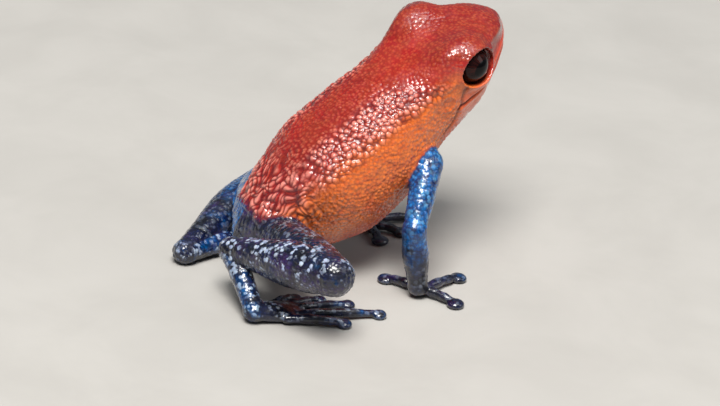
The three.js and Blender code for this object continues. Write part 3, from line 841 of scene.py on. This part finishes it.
crevice_far, dome, own = blend(0), blend(1), blend(2)
relief = (
    coarse_part * RELIEF["coarse"]
    + plain_part * RELIEF["plain"]
    + head_part * (RELIEF["head"] + RELIEF["crown"] * smoothstep(0.2, 0.8, back))
    + on_limb * limb_relief * RELIEF["limb"]
    + rump_part * RELIEF["rump"]
)
unevenness = 0.6 + 0.8 * cloud(skin_points, 1.3, 41)
eye_places = [eye_frame(name)[0] for name in SIDES]
from_eye = np.min([np.linalg.norm(skin_points - c, axis=1) for c in eye_places], 0) - EYE["radius"]
calm = smoothstep(0.03, 0.55, from_eye) * (1 - FACE_CALM * np.clip(mouth_line + 0.6 * lips + nostril_rim, 0, 1))
granule_height = dome * (0.6 + 0.4 * crevice_far) * relief * unevenness * calm
granule_height = granule_height * smoothstep(0.0, 0.35, skin_points[:, 2])  # none where it rests on the floor
face_height = face_height * smoothstep(0.0, 0.25, from_eye)

skin_points = skin_points + skin_normals * (granule_height + face_height)[:, None]
skin_points[:, 2] = np.maximum(skin_points[:, 2], 0.0)
skin_normals = point_normals(skin_points, skin_quads)
print("granules up to", granule_height.max().round(3), "mm high")

# %% [markdown]
# ## Making the skin object
#
# The mesh goes from the pose's millimetres to the frame's metres. The two differ by a shift, which is read
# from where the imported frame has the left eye, so that the skin is sure to sit on the same frog. Every point
# carries its body coordinates and pebble as named numbers, which the materials read back.

# %% The skin as a Blender object
solid_low, solid_high = [np.array(c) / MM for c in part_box("eye_left")]
SHIFT = (solid_low + solid_high) / 2 - eye_frame("left")[0]


def add_object(name, data):
    made = bpy.data.objects.new(name, data)
    bpy.context.scene.collection.objects.link(made)
    return made


def mesh_object(name, points, faces, material, marks):
    """A smooth-shaded object from points in millimetres, with named numbers on its points."""
    mesh = bpy.data.meshes.new(name)
    mesh.from_pydata(((points + SHIFT) * MM).tolist(), [], [list(map(int, f)) for f in faces])
    for mark, values in marks.items():
        mesh.attributes.new(mark, "FLOAT", "POINT").data.foreach_set("value", np.asarray(values, np.float32))
    mesh.shade_smooth()
    mesh.materials.append(material)
    return add_object(name, mesh)


# Pale speckles only where the skin faces up: in part they are painted highlights on the lit pebble tops.
facing_up = smoothstep(-0.4, 0.35, skin_normals[:, 2])
skin_marks = {
    "limb_depth": limb_depth,
    "bright_blue": bright_blue,
    "flecks_and_glints": flecks_and_glints * facing_up,
    "back": back,
    "along": s,
    # The crevice mark is darkened as painted shade in the materials
    "crevice_shade": 1 - crevice_far,
    "dome": dome,
    "own": own,
    "rump": rump_part,
    "coarse": np.clip(mix_coarse + rump_part, 0, 1),
    # The mouth line and jaw crease are darkened as painted shade in the materials
    "crease_shade": np.maximum(mouth_line, 0.7 * folds["jaw_crease"] * in_head),
    "jaw": jaw_strip * in_head,
    "pit": nostril_pit * in_head,
    "from_eye": from_eye,
}
print("shift in mm", SHIFT.round(3))

# %% [markdown]
# ## Node helpers
#
# Materials are made of nodes only, with no pictures. A formula such as noise * 0.6 + 0.2 takes two nodes and
# their links, which hides what it says. So a node's output is wrapped as a Value, which adds a math node each
# time it is added to or multiplied, and a material's code reads like the formula that it stands for.

# %% Values that build math nodes


def fill(node, inputs):
    """Link the inputs that are Values, and set the others."""
    for key, value in dict(inputs).items():
        if isinstance(value, Value):
            node.id_data.links.new(value.socket, node.inputs[key])
        else:
            node.inputs[key].default_value = value


def put(tree, kind, inputs=(), output=0, **settings):
    """Add a node and fill its inputs; gives one of its outputs."""
    node = tree.nodes.new(kind)
    for name, value in settings.items():
        setattr(node, name, value)
    fill(node, inputs)
    return Value(node.outputs[output])


def calc(operation, *values):
    tree = next(v.socket.id_data for v in values if isinstance(v, Value))
    return put(tree, "ShaderNodeMath", enumerate(values), operation=operation)


class Value:
    """The output of a node, ready for use in formulas."""

    def __init__(self, socket):
        self.socket = socket

    __add__ = lambda a, b: calc("ADD", a, b)
    __sub__ = lambda a, b: calc("SUBTRACT", a, b)
    __rsub__ = lambda a, b: calc("SUBTRACT", b, a)
    __mul__ = lambda a, b: calc("MULTIPLY", a, b)
    __rtruediv__ = lambda a, b: calc("DIVIDE", b, a)

    def step(self, low, high, to_low=0.0, to_high=1.0):
        """A smooth step as this value goes from low to high."""
        inputs = {"Value": self, "From Min": low, "From Max": high, "To Min": to_low, "To Max": to_high}
        return put(self.socket.id_data, "ShaderNodeMapRange", inputs, interpolation_type="SMOOTHSTEP")

    def beside(self, name):
        """Another output of the same node."""
        return Value(self.socket.node.outputs[name])


# %% The nodes of one material or effect


class Nodes:
    """Adds nodes to a tree; all its patterns share one place, by default the object's in millimetres."""

    def __init__(self, tree, where=None):
        self.tree = tree
        if where is None:
            place = put(tree, "ShaderNodeTexCoord", output="Object")
            where = put(tree, "ShaderNodeVectorMath", {0: place, "Scale": 1 / MM}, operation="SCALE")
        self.where = where

    def mark(self, name):
        """A number that the points of the mesh carry."""
        return put(self.tree, "ShaderNodeAttribute", output="Fac", attribute_name=name)

    def mix(self, share, a, b):
        inputs = {0: share, 6: colour(a), 7: colour(b)}
        return put(self.tree, "ShaderNodeMix", inputs, 2, data_type="RGBA", clamp_factor=True)

    def noise(self, size, detail=3.0, roughness=0.5, distortion=0.0, where=None):
        inputs = {"Vector": where or self.where, "Scale": 1 / size, "Detail": detail, "Roughness": roughness}
        return put(self.tree, "ShaderNodeTexNoise", {**inputs, "Distortion": distortion}, "Fac")

    def effect(self, name, output, **inputs):
        """An output of one of the shared effects below."""
        inputs["Where"] = self.where
        return put(self.tree, "ShaderNodeGroup", inputs, output, node_tree=bpy.data.node_groups[name])

    def mottle(self, under, over, size, share, edge):
        """One colour over another, in clouds of a size in millimetres."""
        colours = {"Under": colour(under), "Over": colour(over)}
        return self.effect("mottling", "Color", Size=size, Share=share, Edge=edge, **colours)

    def grain(self, size, strength, depth):
        """The bumped normal of fine grain, with its size and depth in millimetres."""
        height = self.effect("fine_grain", "Height", Size=size)
        return put(self.tree, "ShaderNodeBump", {"Strength": strength, "Distance": depth * MM, "Height": height})


def new_material(name):
    """A material with its Principled shader, and the nodes to build its inputs from."""
    material = bpy.data.materials.new(name)
    material.use_nodes = True
    return material, Nodes(material.node_tree)


def finish(material, inputs):
    fill(material.node_tree.nodes["Principled BSDF"], inputs)


def colour(tint):
    """A node's colour from screen values between 0 and 255; a Value stays as it is."""
    if isinstance(tint, Value):
        return tint
    screen = np.array(tint) / 255
    linear = np.where(screen <= 0.04045, screen / 12.92, ((screen + 0.055) / 1.055) ** 2.4)
    return (*linear.tolist(), 1.0)


# %% [markdown]
# ## Shared effects
#
# Three effects appear in more than one finish, so they are node groups: mottling, which lets one colour show
# through another in soft clouds with a crisp edge; fine grain, the tiniest relief that breaks up a highlight;
# and a wet film, which makes a surface shinier in some places than in others.

# %% Mottling, fine grain and wet film
SOCKET_KINDS = {"Where": "NodeSocketVector", **dict.fromkeys(("Under", "Over", "Color"), "NodeSocketColor")}


def new_effect(name, inputs, build):
    """A node group; build is given its nodes and its inputs, and gives its outputs."""
    tree = bpy.data.node_groups.new(name, "ShaderNodeTree")

    def add_socket(socket, direction):
        kind = SOCKET_KINDS.get(socket, "NodeSocketFloat")
        return tree.interface.new_socket(name=socket, in_out=direction, socket_type=kind)

    for socket, value in inputs.items():
        made = add_socket(socket, "INPUT")
        if value is not None:
            made.default_value = value
    given = {key: Value(socket) for key, socket in tree.nodes.new("NodeGroupInput").outputs.items()}
    outputs = build(Nodes(tree, given["Where"]), given)
    for socket in outputs:
        add_socket(socket, "OUTPUT")
    fill(tree.nodes.new("NodeGroupOutput"), outputs)


def mottling(nodes, given):
    value = nodes.noise(given["Size"], 4.0, 0.6, 0.4)
    middle = 0.75 - given["Share"] * 0.5
    mask = value.step(middle - given["Edge"], middle + given["Edge"])
    return {"Color": nodes.mix(mask, given["Under"], given["Over"]), "Mask": mask}


def fine_grain(nodes, given):
    inputs = {"Vector": nodes.where, "Scale": 1 / given["Size"], "Smoothness": 0.5}
    cells = put(nodes.tree, "ShaderNodeTexVoronoi", inputs, "Distance", feature="SMOOTH_F1")
    return {"Height": 1.0 - cells + nodes.noise(given["Size"] * (1 / 0.6)) * 0.6}


def wet_film(nodes, given):
    film = nodes.noise(given["Size"]).step(0.35, 0.65)
    return {"Roughness": film.step(0.0, 1.0, given["Dry"], given["Wet"]), "Film": film}


mottling_inputs = {"Where": None, "Size": 1.0, "Share": 0.5, "Edge": 0.1, "Under": None, "Over": None}
new_effect("mottling", mottling_inputs, mottling)
new_effect("fine_grain", {"Where": None, "Size": 0.1}, fine_grain)
new_effect("wet_film", {"Where": None, "Size": 1.5, "Dry": 0.5, "Wet": 0.2}, wet_film)
print("effects", [g.name for g in bpy.data.node_groups])

# %% [markdown]
# ## The skin's colours
#
# Crimson on the back and crown, orange on the flank and cheek, deepening to red low on the belly, and on the
# limbs a navy that is nearly black, with azure patches, plum tints and pale, bluish speckles, partly the skin's
# own flecks and partly painted highlights. Crevices are painted dark maroon as shade, and the top of each pebble
# is painted a little paler than its foot as a highlight. The two halves are mixed along a ragged edge at the hips
# and shoulders, where both darken to plum.

# %% Colours of trunk and head
# The crevice, mouth and lid rim colours are painted shade; the fine and coarse top colours are painted highlights
# on the pebble tops.
TRUNK = {
    "belly": (186, 54, 24), "flank": (214, 100, 32), "back": (152, 28, 24), "crown": (160, 28, 28),
    "midline": (132, 22, 22), "rust": (120, 36, 22), "amber": (240, 132, 44), "fine painted highlight": (244, 140, 84),
    "coarse painted highlight": (250, 166, 150), "single": (160, 34, 28), "crevice_shade": (74, 10, 20), "blotch": (58, 10, 26),
    "jaw": (226, 96, 70), "crease_shade": (70, 12, 14), "lid rim shade": (64, 8, 14),
}
# Heights between belly (-1) and midline (1) at which one colour gives way to the next; band is where the painted
# highlights on the pebble tops turn pink-white
TURNS = {"flank": (-0.95, -0.35), "band": (0.1, 0.6), "back": (0.25, 0.8), "midline": (0.85, 1.15)}


def trunk_colour(nodes):
    """From belly to back, with orange clouds, and painted highlights on the pebble tops, palest along the wet
    band.
    """
    along, band = nodes.mark("along"), nodes.mark("coarse")
    height = nodes.mark("back") + (nodes.noise(2.2, roughness=0.55) - 0.5) * 0.7 + along.step(17.0, 18.6)
    base = nodes.mix(height.step(*TURNS["flank"]), TRUNK["belly"], TRUNK["flank"])
    upper = nodes.mix(along.step(13.0, 16.5), TRUNK["back"], TRUNK["crown"])
    base = nodes.mix(height.step(*TURNS["back"]), base, upper)
    base = nodes.mix(height.step(*TURNS["midline"]), base, TRUNK["midline"])
    base = nodes.mottle(base, nodes.mix(0.3, base, TRUNK["rust"]), 0.4, 0.4, 0.1)
    warmer = nodes.mix(height.step(-0.2, 0.7, 0.3, 0.06), base, TRUNK["amber"])
    base = nodes.mottle(base, warmer, 1.1, 0.5, 0.16)
    # Painted highlight: the top of each pebble is paler, pink-white along the wet band.
    band = band * height.step(*TURNS["band"])
    pebble_highlight = nodes.mark("dome").step(0.35, 1.0) * band.step(0.0, 1.0, 0.12, 0.58)
    base = nodes.mix(pebble_highlight, base, nodes.mix(band, TRUNK["fine painted highlight"], TRUNK["coarse painted highlight"]))
    return nodes.mix(nodes.mark("own").step(0.55, 1.0) * 0.3, base, TRUNK["single"])


def trunk_details(nodes, base):
    """Painted shade in the crevices, the mouth line, the jaw crease, the nostrils and the rims of the lids; the
    rump's dark blotches and the jaw strip.
    """
    blotch = nodes.effect("mottling", "Mask", Size=1.5, Share=0.2, Edge=0.05)
    # The crevices, mouth line, jaw crease, nostril pits and lid rims are darkened as painted shade.
    for share, over in (
        (nodes.mark("crevice_shade") * (nodes.mark("coarse") * 0.62 + 0.22), "crevice_shade"),
        (blotch * (nodes.mark("rump") * 0.75), "blotch"),
        (nodes.mark("jaw") * 0.5, "jaw"),
        (calc("MAXIMUM", nodes.mark("crease_shade"), nodes.mark("pit")) * 0.9, "crease_shade"),
        ((1.0 - nodes.mark("from_eye").step(0.05, 0.3)) * 0.85, "lid rim shade"),
    ):
        base = nodes.mix(share, base, TRUNK[over])
    return base


# %% Colours of the limbs
# The first three have a dark and a light tone
LIMBS_BLUE = {
    "navy": ((6, 8, 20), (14, 22, 58)),
    "azure": ((2, 30, 88), (0, 106, 180)),
    "pale": ((136, 150, 184), (190, 202, 218)),
    "plum": (70, 40, 104), "crevice_shade": (5, 6, 16), "sky": (96, 186, 226), "seam": (52, 14, 48),
}


def limb_colour(nodes):
    """Navy with azure patches and plum tints, painted shade in the crevices, then pale speckles on single pebbles
    that are partly own flecks and partly painted highlights.
    """
    bright = nodes.mark("bright_blue")
    patch = nodes.effect("mottling", "Mask", Size=1.3, Share=bright * 1.1 - 0.1, Edge=0.1)
    navy = nodes.mottle(*LIMBS_BLUE["navy"], 0.9, 0.5, 0.15)
    azure = nodes.mottle(*LIMBS_BLUE["azure"], 0.5, 0.5, 0.2)
    base = nodes.mix(patch * bright, navy, azure)
    plum = nodes.mix(bright.step(0.2, 0.8, 0.5, 0.1), base, LIMBS_BLUE["plum"])
    base = nodes.mottle(base, plum, 1.7, 0.3, 0.12)
    # Painted shade: the crevices between the pebbles are darkened.
    base = nodes.mix(nodes.mark("crevice_shade") * 0.6, base, LIMBS_BLUE["crevice_shade"])
    # The pale speckles on upward-facing pebble tops are partly the skin's own flecks and partly painted
    # highlights; on bright blue they take a painted cyan highlight.
    fleck_glint_mask = nodes.mark("own").step(0.3, 0.6) * nodes.mark("dome").step(0.25, 0.65)
    fleck_glint_mask = fleck_glint_mask * nodes.noise(0.7, 2.0, 0.55).step(0.4, 0.55) * nodes.mark("flecks_and_glints")
    pale = nodes.mottle(*LIMBS_BLUE["pale"], 0.6, 0.5, 0.2)
    pale = nodes.mix(bright.step(0.4, 1.0, 0.0, 0.8), pale, LIMBS_BLUE["sky"])
    return nodes.mix(fleck_glint_mask * 0.95, base, pale)


# %% [markdown]
# The skin is a dielectric under a thin film of water. One shader with a clear coat gives both: the coat is
# smooth and catches the light, the body under it is rougher and a little translucent. The film isn't even,
# so the group varies the roughness, and the back, which the photo shows dull, stays drier.

# %% The skin material


def make_skin():
    material, nodes = new_material("frog_skin")
    back_value = nodes.mark("back")
    trunk = trunk_details(nodes, trunk_colour(nodes))
    depth = nodes.mark("limb_depth") + (nodes.noise(0.5, 4.0, 0.55) - 0.5) * 0.7
    on_limbs = depth.step(-0.06, 0.1)
    base = nodes.mix(on_limbs, trunk, limb_colour(nodes))
    seam = 1.0 - calc("ABSOLUTE", depth).step(0.0, 0.35)
    film = nodes.effect("wet_film", "Film", Size=1.2, Dry=0.5, Wet=0.26)
    shiny = calc("MAXIMUM", on_limbs, nodes.mark("along").step(15.3, 16.5))  # limbs and head stay wet
    dull = back_value.step(0.84, 1.0) * shiny.step(0.0, 1.0, 0.45, 0.0)
    finish(material, {
        "Base Color": nodes.mix(seam * 0.55, base, LIMBS_BLUE["seam"]),
        "Roughness": film.beside("Roughness"),
        "IOR": 1.4,
        "Subsurface Weight": 0.12,
        "Subsurface Radius": (1.0, 0.35, 0.15),
        "Subsurface Scale": 0.25 * MM,
        "Coat Weight": film * 0.35 + 0.65 - dull,
        "Coat Roughness": 0.1,
        "Coat IOR": 1.5,
        "Normal": nodes.grain(0.13, 0.35, 0.03),
    })
    return material


skin = mesh_object("skin", skin_points, skin_quads, make_skin(), skin_marks)
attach(skin, "root")
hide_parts(*[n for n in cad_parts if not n.startswith("eye_")])
print("skin faces", len(skin.data.polygons))

# %% [markdown]
# ## Eyes
#
# The eye of this frog looks black, but close up it has a dark brown-maroon iris with fine streaks round a
# wide pupil, under a clear bulging cornea that carries the brightest glints on the animal. The cornea
# could be a separate glass shell, but at this size its bulge and a very smooth coat say the same.

# %% Build the eyeballs
PUPIL = {"wide": 0.62, "tall": 0.46, "edge": (0.92, 1.04)}
CORNEA = {"height": 0.09, "spread": 0.62}
LIMBUS = {"angle": 1.02, "width": 0.07, "depth": 0.012}  # the groove round the cornea
BALL_INSET = 0.05


def eyeball(name, rings=64, sides=96):
    """Points and faces of an eyeball, and how far each point lies across, up and along the way it looks."""
    centre, look, across, up_eye = eye_frame(name)
    polar = np.linspace(0, math.pi, rings + 2)[1:-1][:, None]
    angle = np.linspace(0, 2 * math.pi, sides, endpoint=False)[None, :]
    radius = EYE["radius"] - BALL_INSET + CORNEA["height"] * bump(polar, CORNEA["spread"])
    radius = radius - LIMBUS["depth"] * bump(polar - LIMBUS["angle"], LIMBUS["width"])
    x, y, z = np.sin(polar) * np.cos(angle), np.sin(polar) * np.sin(angle), np.cos(polar) + 0 * angle
    spot = (x[..., None] * across + y[..., None] * up_eye + z[..., None] * look) * radius[..., None]
    points, quads, triangles = closed_loft(centre + spot)
    axes = {"eye_across": across, "eye_up": up_eye, "eye_look": look}
    marks = {mark: (points - centre) @ axis for mark, axis in axes.items()}
    return points, [*quads[:, ::-1], *triangles[:, ::-1]], marks


# %% [markdown]
# The streaks of the iris are noise drawn over the angle round the pupil, so that they run like spokes. Both
# colours are close to black, as the photo has them.

# %% The eye material
EYE_TINTS = {
    "iris": (14, 4, 5), "streak": (46, 15, 12), "fleck": (66, 24, 16), "pupil": (4, 3, 4), "round it": (16, 5, 8),
}


def make_eye_material():
    material, nodes = new_material("frog_eye")
    across, above, ahead = nodes.mark("eye_across"), nodes.mark("eye_up"), nodes.mark("eye_look")
    turn = calc("ARCTAN2", above, across)
    spokes = put(nodes.tree, "ShaderNodeCombineXYZ", {"X": turn * 9.0, "Y": ahead * 1.2})
    iris = nodes.mix(nodes.noise(1.0, 4.0, where=spokes).step(0.35, 0.7), EYE_TINTS["iris"], EYE_TINTS["streak"])
    iris = nodes.mottle(iris, nodes.mix(0.5, iris, EYE_TINTS["fleck"]), 0.35, 0.3, 0.12)
    pupil_x, pupil_y = across * (1 / PUPIL["wide"]), above * (1 / PUPIL["tall"])
    reach = calc("SQRT", pupil_x * pupil_x + pupil_y * pupil_y)
    base = nodes.mix(1.0 - reach.step(*PUPIL["edge"]), iris, EYE_TINTS["pupil"])
    finish(material, {
        "Base Color": nodes.mix(ahead.step(0.45, 0.72), EYE_TINTS["round it"], base),
        "Roughness": nodes.effect("wet_film", "Roughness", Size=0.8, Dry=0.2, Wet=0.1),
        "IOR": 1.33,
        "Specular IOR Level": 0.2,
        "Coat Weight": 0.35,
        "Coat Roughness": 0.03,
        "Coat IOR": 1.33,
        "Normal": nodes.grain(0.2, 0.15, 0.01),
    })
    return material


eye_material = make_eye_material()
for name in SIDES:
    points, faces, marks = eyeball(name)
    eye = mesh_object("eyeball_" + name, points, faces, eye_material, marks)
    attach(eye, "root")
    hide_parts("eye_" + name)
    print("eyeball", name, "faces", len(faces))

# %% [markdown]
# ## Floor, camera and light
#
# The frog sits on a plain, pale floor. The light is soft daylight from above and in front: one wide panel over
# the camera draws the wet band along the upper flank, a larger, weaker one overhead fills the floor, a faint
# one ahead of the frog lights its face and fingers, and a dim sky keeps the shadows open. The camera
# stands where the photograph was taken from.

# %% The floor
FLOOR_HALF = 1.5
FLOOR_TONES = (162, 159, 154), (169, 166, 161)


def make_floor():
    material, nodes = new_material("pale_floor")
    finish(material, {
        "Base Color": nodes.mottle(*FLOOR_TONES, 9.0, 0.5, 0.25),
        "Roughness": nodes.effect("wet_film", "Roughness", Size=20.0, Dry=0.8, Wet=0.7),
        "Normal": nodes.grain(0.6, 0.1, 0.02),
    })
    mesh = bpy.data.meshes.new("floor")
    corners = [(x * FLOOR_HALF, y * FLOOR_HALF, 0) for x, y in ((-1, -1), (1, -1), (1, 1), (-1, 1))]
    mesh.from_pydata(corners, [], [(0, 1, 2, 3)])
    mesh.materials.append(material)
    return add_object("floor", mesh)


floor = make_floor()
print("floor", 2 * FLOOR_HALF, "m across")

# %% The camera
# Angles in degrees and distances in millimetres; right and up shift the picture
CAMERA = {"azimuth": 24, "elevation": 25, "roll": 5, "distance": 220, "lens": 176, "sensor": 36}
AIM = {"at": (6, 0, 4), "right": 12 / 16, "up": 2 / 16}


def towards(azimuth, elevation):
    """The way from the frog to a place, by its azimuth from -Y towards -X and its height in degrees."""
    a, e = math.radians(azimuth), math.radians(elevation)
    return np.array([-math.sin(a) * math.cos(e), -math.cos(a) * math.cos(e), math.sin(e)])


to_camera = towards(CAMERA["azimuth"], CAMERA["elevation"])
level = unit(np.cross([0, 0, 1], to_camera))
upright = np.cross(to_camera, level)
roll = math.radians(CAMERA["roll"])
right_axis = math.cos(roll) * level + math.sin(roll) * upright
up_axis = -math.sin(roll) * level + math.cos(roll) * upright
aim = np.array(AIM["at"]) + right_axis * AIM["right"] + up_axis * AIM["up"] + SHIFT
camera_data = bpy.data.cameras.new("camera")
camera_data.lens, camera_data.sensor_width = CAMERA["lens"], CAMERA["sensor"]
camera = add_object("camera", camera_data)
turned = Matrix(np.column_stack([right_axis, up_axis, to_camera]).tolist()).to_4x4()
camera.matrix_world = Matrix.Translation(Vector((aim + to_camera * CAMERA["distance"]) * MM)) @ turned
bpy.context.scene.camera = camera
print("camera at", [round(v, 3) for v in camera.matrix_world.translation])

# %% Lights
# Each panel: azimuth, elevation, distance and size in metres, power in watts, tint
PANELS = {
    "key": (30, 64, 0.5, 0.22, 4.2, (1.0, 0.98, 0.95)),
    "overhead": (-20, 82, 0.6, 0.4, 1.2, (0.95, 0.98, 1.0)),
    "side": (-60, 35, 0.6, 0.3, 0.5, (0.95, 0.97, 1.0)),
}
LIGHT_AIM = Vector((0, 0, 0.006))
SKY = {"Color": (0.85, 0.92, 1.0, 1), "Strength": 0.17}

for name, (azimuth, elevation, distance, size, power, shade) in PANELS.items():
    away = Vector(towards(azimuth, elevation))
    data = bpy.data.lights.new(name, "AREA")
    data.shape, data.size, data.energy, data.color = "SQUARE", size, power, shade
    light = add_object(name, data)
    light.location = LIGHT_AIM + away * distance
    light.rotation_euler = away.to_track_quat("Z", "Y").to_euler()
world = bpy.data.worlds.new("sky")
world.use_nodes = True
fill(world.node_tree.nodes["Background"], SKY)
bpy.context.scene.world = world
bpy.context.scene.view_settings.view_transform = "Standard"
print("lights", list(PANELS))
